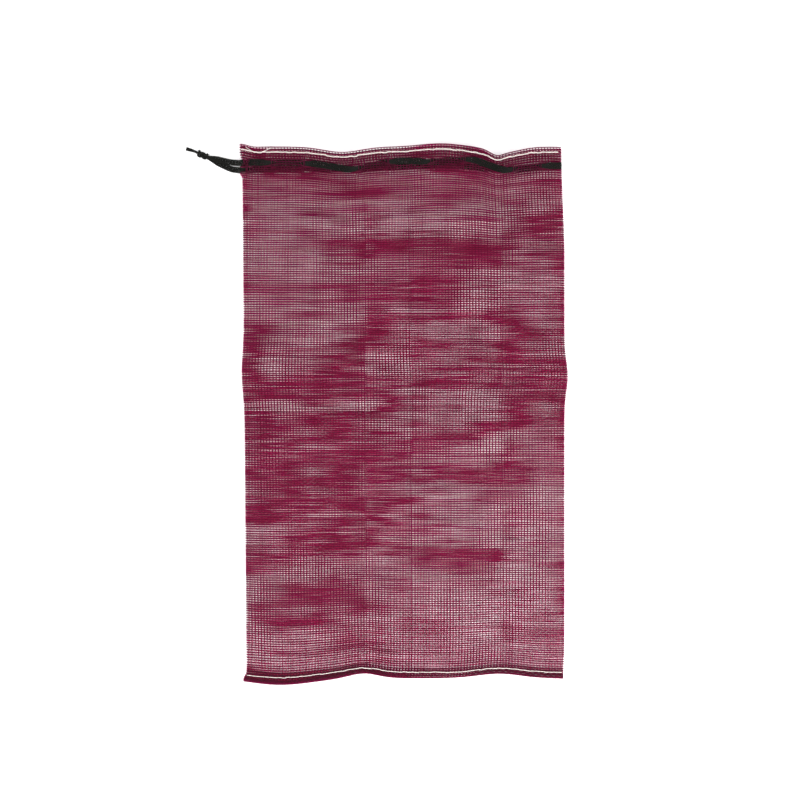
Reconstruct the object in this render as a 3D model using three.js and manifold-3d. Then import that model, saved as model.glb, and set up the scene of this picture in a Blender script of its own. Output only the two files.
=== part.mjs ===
// Empty mesh onion bag, lying flat with its shown side up.
// Millimetres. +X is to the right, +Y towards the mouth, +Z up, and the floor is at z = 0.
import * as THREE from 'three';
import { mergeVertices } from 'three/addons/utils/BufferGeometryUtils.js';
import Module from 'manifold-3d';

const wasm = await Module();
wasm.setup();
const { lerp, smoothstep } = THREE.MathUtils;

// Sizes of the flat bag: a seamless tube of net, hemmed at the mouth and sewn shut at the other end
const FLAT_WIDTH = 480;
const FLAT_LENGTH = 795;
const WALL = 1.0;
const HEM_WALL = 1.8;
const HEM_DEPTH = 18;
const SEAM_DEPTH = 13;
const FOLD_GAP = 0.5;

// How far the front wall stands up, and how far the back wall is lifted along the mouth
const BODY_LOFT = 10.8;
const MOUTH_LOFT = 13.7;
const MOUTH_RAISE = 1.95;
const MOUTH_FROM = 308;
const MOUTH_TO = 350;
const SIDE_ROUND = 46;
const SEAM_ROUND = 75;
const BILLOWS = [
  { height: 0.66, perWidth: 6.4, perLength: 0.0057, phase: 0.4 },
  { height: 0.44, perWidth: -1.7, perLength: 0.0203, phase: 1.1 },
];
const MOUTH_LIFTS = [
  { at: 0.25, rise: 1.6, reach: 0.19 },
  { at: -0.38, rise: -0.5, reach: 0.16 },
  { at: 0.6, rise: -0.5, reach: 0.1 },
];

// Waves of the two ends and kinks of the two sides: where, how far, and how wide
const MOUTH_WAVES = [
  { at: -92, rise: -8, reach: 40 },
  { at: 59, rise: 7.8, reach: 45 },
  { at: 139, rise: -5.5, reach: 13 },
  { at: 151, rise: -8, reach: 32 },
  { at: -244, rise: 5, reach: 13 },
];
const SEAM_WAVES = [
  { at: -184, rise: -9, reach: 60 },
  { at: -60, rise: 7.5, reach: 33 },
  { at: 145, rise: 7, reach: 45 },
];
const WAVE_FADE = 70;
const LEFT = {
  shift: 1.7,
  taper: -3.4,
  kink: { at: 60, rise: -3.6, reach: 42 },
  hem: { from: 374, to: 386, slip: -3.6 },
  tip: { at: -FLAT_LENGTH / 2, rise: -5, reach: 8 },
};
const RIGHT = {
  shift: 1.3,
  taper: 0,
  kink: { at: 56, rise: 4.9, reach: 32 },
  hem: { from: 230, to: 397, slip: -5 },
  tip: { at: -FLAT_LENGTH / 2, rise: -1.8, reach: 25 },
};

// Drawstring tape with its knot and loose end, and sewing thread
const TAPE_WIDTH = 10;
const TAPE_THICKNESS = 1;
const TAPE_STEPS = 84;
const KNOT = { x: -302, y: 388, long: 17, wide: 12, high: 5.4, turn: -0.45, low: 0.15 };
const LOOSE_END = { length: 25.5, rise: 9.7, rootWidth: 4, tipWidth: 5, thickness: 1.4, low: 1 };
const CORNER_CUT = 0.7;
const THREAD_WIDTH = 2.2;
const THREAD_THICKNESS = 1;
const THREAD_REACH = 0.985;
const MOUTH_STITCH_INSET = 6.6;
const SEAM_STITCH_INSET = 8.2;
const CLEAR = 0.5;
const SLOT_CLEAR = 0.35;
const TOUCH_GAP = 0.3;

// Facets of the outer and inner skins
const COLUMNS = 36;
const ROWS = 26;
const INNER_COLUMNS = 24;
const INNER_ROWS = 20;
const PAST_MOUTH = 15;

// SHIFT_Y sets the middle of the waved outline on the origin
const HALF_WIDTH = FLAT_WIDTH / 2;
const HALF_LENGTH = FLAT_LENGTH / 2;
const HALF_TAPE = TAPE_THICKNESS / 2;
const SHIFT_Y = 0.6;

const MAROON = 0x7d2a48;
const DARK_GREEN = 0x262b26;
const CREAM = 0xeae4da;

function bell({ at, rise, reach }, place) {
  return rise * Math.exp(-(((place - at) / reach) ** 2));
}

function waves(list, place) {
  return list.reduce((sum, wave) => sum + bell(wave, place), 0);
}

// How far a side fold lies off its straight line, by the height v up the flat bag from its middle
function foldShift({ shift, taper, kink, hem, tip }, v) {
  const slip = hem.slip * smoothstep(v, hem.from, hem.to);
  return shift + (taper * v) / HALF_LENGTH + bell(kink, v) + slip + bell(tip, v);
}

function leftFold(v) {
  return foldShift(LEFT, v) - HALF_WIDTH;
}

function rightFold(v) {
  return foldShift(RIGHT, v) + HALF_WIDTH;
}

// Where a point of the flat bag lies: u runs from -1 at the left fold to 1 at the right one
function across(u, v) {
  return lerp(leftFold(v), rightFold(v), (u + 1) / 2);
}

function along(x, v) {
  const mouth = waves(MOUTH_WAVES, x) * Math.exp((v - HALF_LENGTH) / WAVE_FADE);
  const seam = waves(SEAM_WAVES, x) * Math.exp(-(v + HALF_LENGTH) / WAVE_FADE);
  return v + SHIFT_Y + mouth + seam;
}

// The flat point that lies at a place, found by stepping back through the waves
function flatPoint(x, y) {
  let v = y;
  for (let step = 0; step < 6; step += 1) {
    v += y - along(x, v);
  }
  const left = leftFold(v);
  return { u: (2 * (x - left)) / (rightFold(v) - left) - 1, v };
}

function wallAt(v) {
  const hem = smoothstep(v, HALF_LENGTH - HEM_DEPTH - 5, HALF_LENGTH - HEM_DEPTH);
  return lerp(WALL, HEM_WALL, hem);
}

// 0 in the body of the bag, 1 along its mouth
function mouthShare(v) {
  return smoothstep(v, MOUTH_FROM, MOUTH_TO);
}

function backUnder(v) {
  return MOUTH_RAISE * mouthShare(v);
}

function billow(u, v) {
  return BILLOWS.reduce((sum, { height, perWidth, perLength, phase }) => (
    sum + height * Math.sin(u * perWidth + v * perLength + phase)
  ), 0);
}

function loftAt(u, v) {
  return lerp(BODY_LOFT + billow(u, v), MOUTH_LOFT + waves(MOUTH_LIFTS, u), mouthShare(v));
}

// A quarter round: steep at the fold, level at its reach
function rounded(distance, reach) {
  const left = 1 - Math.min(Math.max(distance / reach, 0), 1);
  return Math.sqrt(1 - left * left);
}

function frontTop(u, v) {
  const rim = backUnder(v) + 2 * wallAt(v) + FOLD_GAP;
  const side = rounded((1 - Math.abs(u)) * HALF_WIDTH, SIDE_ROUND);
  const end = smoothstep(v + HALF_LENGTH, SEAM_DEPTH, SEAM_DEPTH + SEAM_ROUND);
  return rim + (loftAt(u, v) - rim) * side * end;
}

// Booleans
function toSolid(geometry) {
  const bare = geometry.clone();
  bare.deleteAttribute('normal');
  bare.deleteAttribute('uv');
  const merged = mergeVertices(bare, 1e-4);
  return new wasm.Manifold(new wasm.Mesh({
    numProp: 3,
    vertProperties: new Float32Array(merged.attributes.position.array),
    triVerts: new Uint32Array(merged.index.array),
  }));
}

function toGeometry(solid) {
  const mesh = solid.getMesh();
  const geometry = new THREE.BufferGeometry();
  geometry.setAttribute('position', new THREE.BufferAttribute(mesh.vertProperties, 3));
  geometry.setIndex(new THREE.BufferAttribute(mesh.triVerts, 1));
  geometry.computeVertexNormals();
  return geometry;
}

// Even steps from -1 to 1, drawn closer together towards both ends
function crowded(step) {
  return Math.sin((step * Math.PI) / 2);
}

// A box of columns and rows, closer together at the edges, bent into the bag's form
function bentBox(columns, rows, bend) {
  const box = new THREE.BoxGeometry(2, 2, 2, columns, rows, 1);
  const place = box.attributes.position;
  for (let i = 0; i < place.count; i += 1) {
    const row = place.getY(i);
    const point = bend(crowded(place.getX(i)), lerp(row, crowded(row), 0.5), place.getZ(i) > 0);
    place.setXYZ(i, point.x, point.y, point.z);
  }
  return box;
}

function bagOutside() {
  return bentBox(COLUMNS, ROWS, (u, t, front) => {
    const v = t * HALF_LENGTH;
    const x = across(u, v);
    return { x, y: along(x, v), z: front ? frontTop(u, v) : backUnder(v) };
  });
}

// The hollow starts at the seam, keeps off the folds by the wall and runs out past the mouth
function bagInside() {
  const start = SEAM_DEPTH - HALF_LENGTH;
  const end = HALF_LENGTH + PAST_MOUTH;
  return bentBox(INNER_COLUMNS, INNER_ROWS, (s, t, front) => {
    const v = lerp(start, end, (t + 1) / 2);
    const u = s * (1 - (2 * WALL) / HALF_WIDTH);
    const x = across(u, v);
    const wall = wallAt(v);
    return { x, y: along(x, v), z: front ? frontTop(u, v) - wall : backUnder(v) + wall };
  });
}

// A flat tape follows its hand-set points and keeps its width along the length of the bag
class TapeRoute extends THREE.CatmullRomCurve3 {
  getUtoTmapping(u) {
    return u;
  }

  computeFrenetFrames(segments) {
    const frames = { tangents: [], normals: [], binormals: [] };
    for (let i = 0; i <= segments; i += 1) {
      const tangent = this.getTangent(i / segments);
      const width = new THREE.Vector3(0, 1, 0).addScaledVector(tangent, -tangent.y).normalize();
      frames.tangents.push(tangent);
      frames.normals.push(new THREE.Vector3().crossVectors(width, tangent));
      frames.binormals.push(width);
    }
    return frames;
  }
}

function flatSection(width, thickness) {
  const w = width / 2;
  const t = thickness / 2;
  const cut = t * CORNER_CUT;
  return new THREE.Shape([
    [t, cut - w], [t, w - cut], [t - cut, w], [cut - t, w],
    [-t, w - cut], [-t, cut - w], [cut - t, -w], [t - cut, -w],
  ].map(([a, b]) => new THREE.Vector2(a, b)));
}

function sweep(route, width, thickness, steps) {
  return new THREE.ExtrudeGeometry(flatSection(width, thickness), { extrudePath: route, steps });
}

// Heights at which the tape runs: over and under each wall, through a fold and on the floor
function overFront(x, y) {
  const { u, v } = flatPoint(x, y);
  return new THREE.Vector3(x, y, frontTop(u, v) + CLEAR + HALF_TAPE);
}

function underFront(x, y) {
  const { u, v } = flatPoint(x, y);
  return new THREE.Vector3(x, y, frontTop(u, v) - HEM_WALL - CLEAR - HALF_TAPE);
}

function insideBack(x, y) {
  const { v } = flatPoint(x, y);
  return new THREE.Vector3(x, y, backUnder(v) + HEM_WALL + CLEAR + HALF_TAPE);
}

function belowBack(x, y) {
  const { v } = flatPoint(x, y);
  return new THREE.Vector3(x, y, backUnder(v) - CLEAR - HALF_TAPE);
}

function atHeight(x, y, z) {
  return new THREE.Vector3(x, y, z);
}

// The drawstring from its knot, along the front, round the right fold, along the back and to the knot again
function drawstringRoute() {
  return new TapeRoute([
    atHeight(-299, 387.5, 2.4), atHeight(-286, 383.5, 2.2), atHeight(-272, 380, 2.1),
    atHeight(-258, 377, 2.6), atHeight(-245, 376, 3.9), atHeight(-238, 376, 5.2),
    overFront(-227, 376), overFront(-213, 375.5),
    underFront(-193, 375), underFront(-172, 375), underFront(-153, 374.5),
    overFront(-134, 373.5), overFront(-106, 369.5), overFront(-83, 365.5),
    underFront(-62, 367.5), underFront(-44, 372), underFront(-27, 376),
    overFront(-9, 377.5), overFront(8, 378), overFront(25, 377),
    underFront(45, 377), underFront(66, 378.5), underFront(87, 380),
    overFront(106, 379), overFront(128, 371.5), overFront(150, 364.5),
    underFront(170, 366), underFront(187, 368.5), underFront(202, 370),
    overFront(219, 371), overFront(231, 371.2),
    atHeight(240.5, 371.2, 6.6), atHeight(240.8, 371, 3.4), belowBack(233, 371),
    belowBack(210, 370), belowBack(178, 368.5),
    insideBack(156, 366.5), insideBack(128, 368), insideBack(104, 370),
    belowBack(84, 372), belowBack(66, 372), belowBack(48, 372),
    insideBack(28, 371), insideBack(9, 371), insideBack(-10, 371),
    belowBack(-30, 369), belowBack(-45, 369), belowBack(-60, 368),
    insideBack(-80, 367), insideBack(-108, 367), insideBack(-136, 367.5),
    belowBack(-156, 367.5), belowBack(-174, 367), belowBack(-192, 366.5),
    insideBack(-212, 366), insideBack(-230, 365.5), atHeight(-245, 365, 3.9),
    atHeight(-258, 367, 1.4), atHeight(-272, 373, 0.8),
    atHeight(-286, 380, 0.8), atHeight(-299, 386, 1.2),
  ]);
}

function tapeAlong(route, grow) {
  return sweep(route, TAPE_WIDTH + 2 * grow, TAPE_THICKNESS + 2 * grow, TAPE_STEPS);
}

// The knot that ties both ends, and the short end that sticks out of it
function tiedKnot() {
  const knot = new THREE.SphereGeometry(1, 14, 9);
  knot.scale(KNOT.long / 2, KNOT.wide / 2, KNOT.high / 2);
  knot.rotateZ(KNOT.turn);
  knot.translate(KNOT.x, KNOT.y, KNOT.high / 2 + KNOT.low);
  return knot;
}

function looseEnd() {
  const tip = { x: KNOT.x - LOOSE_END.length, y: KNOT.y + LOOSE_END.rise };
  const bend = { x: lerp(KNOT.x, tip.x, 0.5), y: lerp(KNOT.y, tip.y, 0.8) };
  const root = LOOSE_END.rootWidth / 2;
  const end = LOOSE_END.tipWidth / 2;
  const plan = new THREE.Shape();
  plan.moveTo(KNOT.x, KNOT.y - root);
  plan.lineTo(KNOT.x, KNOT.y + root);
  plan.quadraticCurveTo(bend.x, bend.y + root, tip.x, tip.y + end);
  plan.lineTo(tip.x, tip.y - end);
  plan.quadraticCurveTo(bend.x, bend.y - root, KNOT.x, KNOT.y - root);
  const options = { depth: LOOSE_END.thickness, bevelEnabled: false, curveSegments: 5 };
  return new THREE.ExtrudeGeometry(plan, options).translate(0, 0, LOOSE_END.low);
}

function drawstring(route) {
  const tied = toSolid(tapeAlong(route, 0)).add(toSolid(tiedKnot())).add(toSolid(looseEnd()));
  return toGeometry(tied);
}

function netBag(route) {
  const hollow = toSolid(bagOutside()).subtract(toSolid(bagInside()));
  return toGeometry(hollow.subtract(toSolid(tapeAlong(route, SLOT_CLEAR))));
}

// A row of stitching lies along the hem or the seam at a set height v up the flat bag
function stitchRow(v, heightAt) {
  const points = Array.from({ length: COLUMNS + 1 }, (_, i) => {
    const u = THREAD_REACH * crowded((2 * i) / COLUMNS - 1);
    const x = across(u, v);
    return new THREE.Vector3(x, along(x, v), heightAt(u, v));
  });
  return sweep(new TapeRoute(points), THREAD_WIDTH, THREAD_THICKNESS, COLUMNS);
}

function piece(name, geometry, color, roughness) {
  const material = new THREE.MeshStandardMaterial({ color, roughness, metalness: 0 });
  const mesh = new THREE.Mesh(geometry, material);
  mesh.name = name;
  return mesh;
}

const threadLift = TOUCH_GAP + THREAD_THICKNESS / 2;
const onFront = (u, v) => frontTop(u, v) + threadLift;
const onBack = (u, v) => backUnder(v) - threadLift;
const route = drawstringRoute();

const bag = new THREE.Group();
bag.add(piece('net_bag', netBag(route), MAROON, 0.45));
bag.add(piece('drawstring', drawstring(route), DARK_GREEN, 0.55));
bag.add(piece('mouth_stitch_front', stitchRow(HALF_LENGTH - MOUTH_STITCH_INSET, onFront), CREAM, 0.8));
bag.add(piece('mouth_stitch_back', stitchRow(HALF_LENGTH - MOUTH_STITCH_INSET, onBack), CREAM, 0.8));
bag.add(piece('seam_stitch', stitchRow(SEAM_STITCH_INSET - HALF_LENGTH, onFront), CREAM, 0.8));

export default bag;
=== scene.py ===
"""Empty mesh onion bag lying flat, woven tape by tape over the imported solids.

Metres. +X is to the right, +Y towards the mouth, +Z up, and the floor is at z = 0.
"""

import math

import bmesh
import bpy
import numpy as np
from bpy.props import FloatProperty, FloatVectorProperty, PointerProperty
from bpy.types import Operator, Panel, PropertyGroup
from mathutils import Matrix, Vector


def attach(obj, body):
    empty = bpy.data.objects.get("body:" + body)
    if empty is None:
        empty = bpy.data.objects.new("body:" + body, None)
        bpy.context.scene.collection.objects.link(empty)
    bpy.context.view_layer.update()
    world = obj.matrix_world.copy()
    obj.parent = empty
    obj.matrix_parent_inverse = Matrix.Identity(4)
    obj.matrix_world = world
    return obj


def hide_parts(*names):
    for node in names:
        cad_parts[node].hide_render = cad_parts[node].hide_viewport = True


bl_info = {
    "name": "Mesh Onion Bag",
    "version": (1, 0, 0),
    "blender": (4, 5, 0),
    "location": "3D View > Sidebar > Onion Bag",
    "description": "Weaves an empty net bag with its hems, stitching and drawstring",
    "category": "Add Mesh",
}

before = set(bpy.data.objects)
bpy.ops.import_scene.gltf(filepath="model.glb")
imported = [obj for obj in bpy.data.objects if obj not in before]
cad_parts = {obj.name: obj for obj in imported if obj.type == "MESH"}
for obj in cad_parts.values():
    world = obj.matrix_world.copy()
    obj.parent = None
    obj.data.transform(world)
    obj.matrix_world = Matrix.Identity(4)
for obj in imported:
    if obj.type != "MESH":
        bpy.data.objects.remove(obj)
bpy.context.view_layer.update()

# Form of the flat bag, as in the solids: its walls, hems and the heights of the front wall
HALF_WIDTH = 0.240
HALF_LENGTH = 0.3975
SHIFT_Y = 0.0006
WALL = 0.0010
HEM_WALL = 0.0018
HEM_DEPTH = 0.018
HEM_BLEND = 0.005
SEAM_DEPTH = 0.013
FOLD_GAP = 0.0005
BODY_LOFT = 0.0108
MOUTH_LOFT = 0.0137
MOUTH_RAISE = 0.00195
MOUTH_FROM = 0.308
MOUTH_TO = 0.350
SIDE_ROUND = 0.046
SEAM_ROUND = 0.075
FLAT_ROUNDS = 6

# Billows of the front wall: height, turns by width, turns by metre of length, phase
BILLOWS = ((0.00066, 6.4, 5.7, 0.4), (0.00044, -1.7, 20.3, 1.1))

# Bells of a wave: where, how far and how wide
MOUTH_LIFTS = ((0.25, 0.0016, 0.19), (-0.38, -0.0005, 0.16), (0.6, -0.0005, 0.1))
MOUTH_WAVES = (
    (-0.092, -0.0080, 0.040),
    (0.059, 0.0078, 0.045),
    (0.139, -0.0055, 0.013),
    (0.151, -0.0080, 0.032),
    (-0.244, 0.0050, 0.013),
)
SEAM_WAVES = ((-0.184, -0.0090, 0.060), (-0.060, 0.0075, 0.033), (0.145, 0.0070, 0.045))
WAVE_FADE = 0.070
LEFT_FOLD = {
    "shift": 0.0017,
    "taper": -0.0034,
    "bells": ((0.060, -0.0036, 0.042), (-HALF_LENGTH, -0.005, 0.008)),
    "hem": (0.374, 0.386, -0.0036),
}
RIGHT_FOLD = {
    "shift": 0.0013,
    "taper": 0.0,
    "bells": ((0.056, 0.0049, 0.032), (-HALF_LENGTH, -0.0018, 0.025)),
    "hem": (0.230, 0.397, -0.005),
}

# Lie of the two nets inside their walls, and how the hems turn in
FRONT_SET = 0.0005
BACK_SET = 0.00035
HEM_TURN = 0.0195
SEAM_TURN = 0.0150
HEM_LAYER = 0.0006
HEM_SLIDE = 0.0006
LAYER_EASE = 0.002
SLIDE_EASE = 0.004
FOLD_BULGE = 0.0006
MIDDLE = -0.004

# Places where the two nets are pulled along each other: x, v, reach across and along, and how far
IN_STEP = (
    (-0.155, -0.270, 0.190, 0.060, 0.80),
    (0.050, -0.255, 0.185, 0.030, 0.70),
    (0.085, 0.320, 0.155, 0.040, -0.60),
    (-0.175, 0.230, 0.085, 0.050, -1.00),
    (0.005, 0.245, 0.140, 0.035, 0.60),
    (0.085, 0.225, 0.135, 0.025, 0.55),
    (0.105, -0.380, 0.190, 0.080, 0.90),
    (0.015, -0.055, 0.110, 0.030, 0.60),
    (-0.140, -0.080, 0.190, 0.070, -0.45),
    (0.210, -0.105, 0.040, 0.080, 0.90),
    (-0.224, 0.384, 0.022, 0.014, 1.00),
)
# Nearer to the closed end than this, the rows of the back net lie above those of the front one
# instead of below them: from and to
SEAM_SWAP = (0.003, 0.011)
# How much wider the rows are there, the stretch where they are not (x and reach), and how much
# narrower the rows are in the hem of the mouth
SEAM_WIDEN = 0.70
SEAM_OPEN = (0.045, 0.085)
HEM_NARROW = 0.12

# The front hem hangs back here, so that the back hem shows past it
PEEK = ((0.070, -0.0032, 0.050),)
PEEK_FADE = 0.050

# Storage creases: where, how deep and how wide
CROSS_CREASE = (-0.004, -0.0022, 0.0045)
LONG_CREASES = ((-0.058, 0.0012, 0.0035), (0.011, -0.0010, 0.0030), (0.147, 0.0011, 0.0035))
# Lengthwise tapes drawn together at a crease: where, how far and how wide
CREASE_PULLS = tuple((at, 0.0015, 0.0058) for at, _, _ in LONG_CREASES)
# Rows pushed apart or together at a crease: where, from and to, and how far
ROW_CREASES = (
    (0.152, -0.030, 0.132, 0.0007),
    (0.0005, -0.240, 0.100, -0.0006),
    (-0.170, -0.110, 0.090, 0.0006),
)
ROW_CREASE_FADE = 0.020

# Drawstring tape: heights over and under the walls, and its slots through the net
TAPE_CLEAR = 0.0010
UNDER_CLEAR = 0.00082
SLOT_HALF = (0.0042, 0.0040)
SLOT_REACH = (0.010, 0.009)
SLOT_FADE = 0.020
FRONT_SLOTS = (
    (-0.203, 0.3753),
    (-0.1435, 0.374),
    (-0.0725, 0.3665),
    (-0.018, 0.3768),
    (0.035, 0.377),
    (0.0965, 0.3797),
    (0.160, 0.3652),
    (0.2105, 0.3705),
)
BACK_SLOTS = (
    (0.167, 0.3675),
    (0.094, 0.371),
    (0.038, 0.3715),
    (-0.020, 0.370),
    (-0.070, 0.3675),
    (-0.146, 0.3675),
    (-0.202, 0.3662),
)
EXIT_SLOT = (-0.2405, 0.365)
UPPER_EXIT = (-0.245, 0.376, 0.0039)
LOWER_EXIT = (-0.245, 0.365, 0.0039)
KNOT_MIDDLE = (-0.302, 0.388, 0.0024)
KNOT_TURN = -0.40

MOUTH_STITCH_INSET = 0.0066
SEAM_STITCH_INSET = 0.0082
STITCH_REACH = 0.997

# Camera: straight above, at the place and width that the view takes in
VIEW_MIDDLE = (-0.00525, 0.02025)
VIEW_WIDTH = 1.2
VIEW_HEIGHT = 3.0
VIEW_LEVEL = 0.006
SENSOR = 36.0


class OnionBagSizes(PropertyGroup):
    """Sizes of the weave, the thread and the drawstring."""

    cell_width: FloatProperty(
        name="Cell Width",
        description="Distance from one lengthwise tape to the next",
        default=0.00453,
        unit="LENGTH",
    )
    cell_height: FloatProperty(
        name="Cell Height",
        description="Distance from one crosswise tape to the next",
        default=0.00336,
        unit="LENGTH",
    )
    warp_width: FloatProperty(
        name="Lengthwise Tape",
        description="Width of a lengthwise tape of the net",
        default=0.0010,
        unit="LENGTH",
    )
    weft_width: FloatProperty(
        name="Crosswise Tape",
        description="Width of a crosswise tape of the net",
        default=0.00171,
        unit="LENGTH",
    )
    net_thickness: FloatProperty(
        name="Tape Thickness",
        description="Thickness of a tape of the net",
        default=0.00034,
        unit="LENGTH",
    )
    thread: FloatProperty(
        name="Thread",
        description="Thickness of the sewing thread",
        default=0.00080,
        unit="LENGTH",
    )
    stitch: FloatProperty(
        name="Stitch",
        description="Length of one chain stitch",
        default=0.0065,
        unit="LENGTH",
    )
    drawstring: FloatProperty(
        name="Drawstring",
        description="Width of the knitted drawstring tape",
        default=0.010,
        unit="LENGTH",
    )


class OnionBagColours(PropertyGroup):
    """Colours of the net, the thread and the drawstring."""

    net: FloatVectorProperty(
        name="Net",
        description="Lighter colour of the net's tapes",
        subtype="COLOR",
        default=(0.042, 0.0050, 0.0115),
    )
    net_shade: FloatVectorProperty(
        name="Net Shade",
        description="Darker colour of the net's tapes",
        subtype="COLOR",
        default=(0.025, 0.0030, 0.0064),
    )
    # Painted light: the back wall's tapes get a lighter copy of the net's colour. It stands in for the
    # pale floor's light shining back up through them.
    back: FloatVectorProperty(
        name="Back Net",
        description="Lighter colour of the back wall's tapes, which lie on the pale floor",
        subtype="COLOR",
        default=(0.225, 0.034, 0.072),
    )
    # Painted light as well: the darker end of that lighter, floor-lit copy of the net's colour.
    floor_lit_back_dark: FloatVectorProperty(
        name="Back Net Shade",
        description="Darker colour of the back wall's tapes",
        subtype="COLOR",
        default=(0.150, 0.021, 0.047),
    )
    net_glow: FloatVectorProperty(
        name="Net Glow",
        description="Colour of the light that passes through the net's tapes",
        subtype="COLOR",
        default=(0.97, 0.15, 0.55),
    )
    drawstring: FloatVectorProperty(
        name="Drawstring",
        description="Colour of the drawstring",
        subtype="COLOR",
        default=(0.0082, 0.0085, 0.0070),
    )
    drawstring_shade: FloatVectorProperty(
        name="Drawstring Shade",
        description="Darker colour of the drawstring",
        subtype="COLOR",
        default=(0.0031, 0.0033, 0.0027),
    )
    thread: FloatVectorProperty(
        name="Thread",
        description="Colour of the sewing thread",
        subtype="COLOR",
        default=(0.88, 0.83, 0.78),
    )
    thread_shade: FloatVectorProperty(
        name="Thread Shade",
        description="Darker colour of the sewing thread",
        subtype="COLOR",
        default=(0.66, 0.60, 0.55),
    )
    floor: FloatVectorProperty(
        name="Floor",
        description="Colour of the floor under the bag",
        subtype="COLOR",
        default=(0.90, 0.90, 0.90),
    )


def sizes():
    return bpy.context.scene.onion_bag_sizes


def colours():
    return bpy.context.scene.onion_bag_colours


# Form

def ease(value, start, end):
    share = np.clip((value - start) / (end - start), 0.0, 1.0)
    return share * share * (3.0 - 2.0 * share)


def bells(waves, place):
    return sum(rise * np.exp(-(((place - at) / reach) ** 2)) for at, rise, reach in waves)


def fold_line(fold, v):
    start, end, slip = fold["hem"]
    hem = slip * ease(v, start, end)
    return fold["shift"] + fold["taper"] * v / HALF_LENGTH + bells(fold["bells"], v) + hem


def across(u, v):
    """Where a point lies across the bag: u runs from -1 at the left fold to 1 at the right one."""
    left = fold_line(LEFT_FOLD, v) - HALF_WIDTH
    right = fold_line(RIGHT_FOLD, v) + HALF_WIDTH
    return left + (right - left) * (u + 1.0) / 2.0


def along(x, v):
    """Where a point lies along the bag, by its height v up the flat bag from its middle."""
    mouth = bells(MOUTH_WAVES, x) * np.exp((v - HALF_LENGTH) / WAVE_FADE)
    seam = bells(SEAM_WAVES, x) * np.exp(-(v + HALF_LENGTH) / WAVE_FADE)
    return v + SHIFT_Y + mouth + seam


def flat_point(x, y):
    v = y
    for _ in range(FLAT_ROUNDS):
        v = v + y - along(x, v)
    left = fold_line(LEFT_FOLD, v) - HALF_WIDTH
    right = fold_line(RIGHT_FOLD, v) + HALF_WIDTH
    return 2.0 * (x - left) / (right - left) - 1.0, v


def mouth_share(v):
    return ease(v, MOUTH_FROM, MOUTH_TO)


def back_under(v):
    return MOUTH_RAISE * mouth_share(v)


def front_top(u, v):
    hem = ease(v, HALF_LENGTH - HEM_DEPTH - HEM_BLEND, HALF_LENGTH - HEM_DEPTH)
    rim = back_under(v) + 2.0 * (WALL + (HEM_WALL - WALL) * hem) + FOLD_GAP
    billow = sum(h * np.sin(u * a + v * b + phase) for h, a, b, phase in BILLOWS)
    body = BODY_LOFT + billow
    loft = body + (MOUTH_LOFT + bells(MOUTH_LIFTS, u) - body) * mouth_share(v)
    curl = 1.0 - np.clip((1.0 - np.abs(u)) * HALF_WIDTH / SIDE_ROUND, 0.0, 1.0)
    end = ease(v + HALF_LENGTH, SEAM_DEPTH, SEAM_DEPTH + SEAM_ROUND)
    return rim + (loft - rim) * np.sqrt(1.0 - curl * curl) * end


# Loose weave: the two nets are pulled a little differently, which makes light and dense patches

# Upper end of a random phase, about a full turn
TURN = 6.28


def ripples(seed, count, cross, length, strain, by_length):
    """Random long waves: how far, turns by x, turns by v, phase."""
    rng = np.random.default_rng(seed)
    made = []
    for _ in range(count):
        wave_x = rng.uniform(*cross) * rng.choice((-1.0, 1.0))
        wave_v = rng.uniform(*length)
        steep = wave_v if by_length else abs(wave_x)
        far = strain * steep / (2.0 * math.pi)
        made.append((far, 2.0 * math.pi / wave_x, 2.0 * math.pi / wave_v, rng.uniform(0.0, TURN)))
    return made


def rippled(made, x, v):
    return sum(far * np.sin(a * x + b * v + phase) for far, a, b, phase in made)


# Waves of each net along the bag, across it and in height: seed, number, lengths across,
# lengths along, strain, and whether the strain is along the bag
PULL_ALONG = {
    "front": ripples(11, 10, (0.25, 1.20), (0.10, 0.35), 0.004, True),
    "back": ripples(12, 10, (0.25, 1.20), (0.10, 0.35), 0.004, True),
    "fold": ripples(13, 4, (9.0, 10.0), (0.10, 0.30), 0.020, True),
}
PULL_ACROSS = {
    "front": ripples(21, 7, (0.12, 0.40), (0.25, 0.90), 0.006, False),
    "back": ripples(22, 7, (0.12, 0.40), (0.25, 0.90), 0.006, False),
}
WRINKLES = {
    "front": ripples(31, 8, (0.05, 0.16), (0.05, 0.16), 0.045, True),
    "back": ripples(32, 4, (0.08, 0.20), (0.08, 0.20), 0.004, True),
}
# Places where the drawstring gathers the mouth: where, how far and how wide
GATHERS = (
    (-0.060, 0.0018, 0.026),
    (0.012, -0.0016, 0.022),
    (0.142, 0.0020, 0.028),
    (-0.150, -0.0014, 0.030),
)
GATHER_FADE = 0.110
# How far the left and the right fold hold the nets: reach, and its waves as far, turns and phase
FOLD_REACH = (
    (0.034, (0.016, 9.0, 1.0), (0.010, 31.0, 2.2)),
    (0.030, (0.014, 11.0, 3.4), (0.008, 27.0, 0.6)),
)
END_EASE = 0.030


def off_fold(u, v):
    """How free a net is to shift: not at all at a fold, wholly some way off it."""
    reaches = [base + sum(far * np.sin(turns * v + phase) for far, turns, phase in waves)
               for base, *waves in FOLD_REACH]
    return ease((1.0 - np.abs(u)) * HALF_WIDTH, 0.0, np.where(u < 0.0, *reaches))


def spread_out(pulls, x):
    """Shift of the lengthwise tapes away from places: where, how far and how wide."""
    return sum(far * (x - at) / reach * np.exp(-(((x - at) / reach) ** 2))
               for at, far, reach in pulls)


def parted(v, x):
    """Shift of the rows to both sides of the lines where the cloth was folded for storage."""
    shift = 0.0
    for at, start, end, far in ROW_CREASES:
        within = ease(x, start, start + ROW_CREASE_FADE) * (1.0 - ease(x, end - ROW_CREASE_FADE, end))
        shift = shift + far * np.sign(v - at) * np.exp(-np.abs(v - at) / ROW_CREASE_FADE) * within
    return shift


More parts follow.
